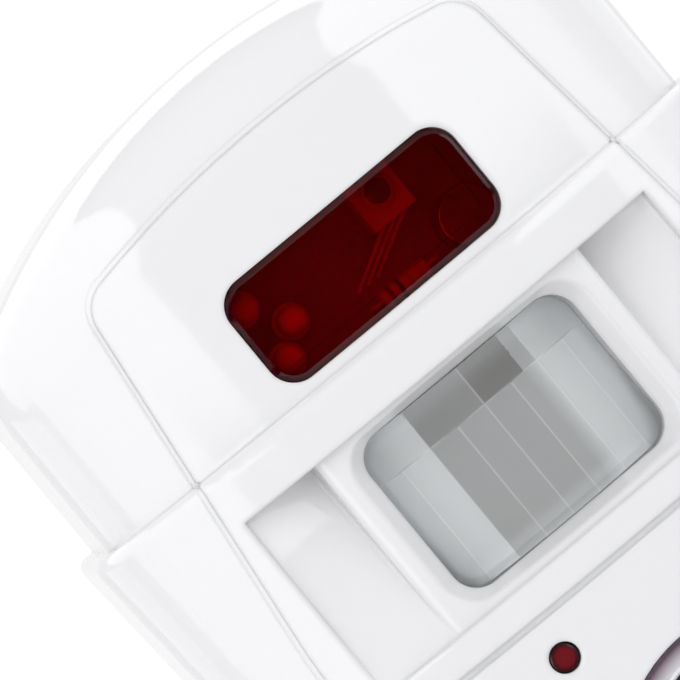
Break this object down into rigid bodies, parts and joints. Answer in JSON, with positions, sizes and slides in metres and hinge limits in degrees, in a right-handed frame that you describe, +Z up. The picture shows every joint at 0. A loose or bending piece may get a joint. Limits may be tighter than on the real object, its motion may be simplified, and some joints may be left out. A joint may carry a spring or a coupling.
{
  "type": "motion sensor alarm",
  "caption": "Free-standing or wall-hung alarm: a domed case, a red signal window, a faceted sensor lens in a bay under a brow, a ringed siren and a battery bay behind.",
  "frame": {"origin": "middle of the foot that the case stands on, at the level of the surface under it", "axes": "+Z up, the face with the lens looks along -Y, +X is to the right of someone who looks at the face"},
  "size_m": [0.0788, 0.046, 0.122],
  "materials": {
    "cover_plastic": "glossy white moulded plastic",
    "case_plastic": "glossy white moulded plastic",
    "inner_plastic": "plain white moulded plastic",
    "window_red": "clear dark red moulded plastic, polished",
    "lens_milky": "milky moulded lens with fine facets",
    "led_red": "clear red resin",
    "board": "green lacquered board",
    "sensor_can": "plain steel",
    "receiver_dark": "moulded dark resin",
    "capacitor_sleeve": "shrunk dark sleeve",
    "resistor_body": "lacquered body",
    "black_plastic": "black moulded plastic",
    "ring_chrome": "bright plated ring",
    "grille_plastic": "dark perforated disc",
    "brass_disc": "rolled brass",
    "cell_sleeve": "plain dark cell jacket",
    "contact_metal": "plated spring steel",
    "screw_steel": "zinc-plated steel"
  },
  "bodies": {
    "case": {"front_cover": "cover_plastic", "case_shell": "case_plastic", "signal_window": "window_red", "fresnel_lens": "lens_milky", "lens_retainer": "inner_plastic", "status_led": "led_red", "indicator_leds": "led_red", "main_board": "board", "pir_sensor": "sensor_can", "infrared_receiver": "receiver_dark", "storage_capacitor": "capacitor_sleeve", "control_chip": "receiver_dark", "board_resistors": "resistor_body", "power_switch": "sensor_can", "dc_jack": "black_plastic", "siren_ring": "ring_chrome", "siren_grille": "grille_plastic", "siren_case": "inner_plastic", "piezo_disc": "brass_disc", "back_cover": "case_plastic", "battery_cell_1": "cell_sleeve", "battery_cell_2": "cell_sleeve", "battery_cell_3": "cell_sleeve", "battery_cell_4": "cell_sleeve", "plate_contacts": "contact_metal", "spring_contacts": "contact_metal", "case_screws": "screw_steel", "board_screws": "screw_steel", "siren_screws": "screw_steel"},
    "switch": {"switch_knob": "black_plastic"},
    "door": {"battery_door": "case_plastic"}
  },
  "joints": [
    {"name": "switch_slide", "type": "slide", "parent": "case", "child": "switch", "axis": [0, 0, 1], "range_m": [-0.002, 0.002]},
    {"name": "door_pull", "type": "slide", "parent": "case", "child": "door", "axis": [0, 1, 0], "range_m": [0, 0.025]}
  ]
}
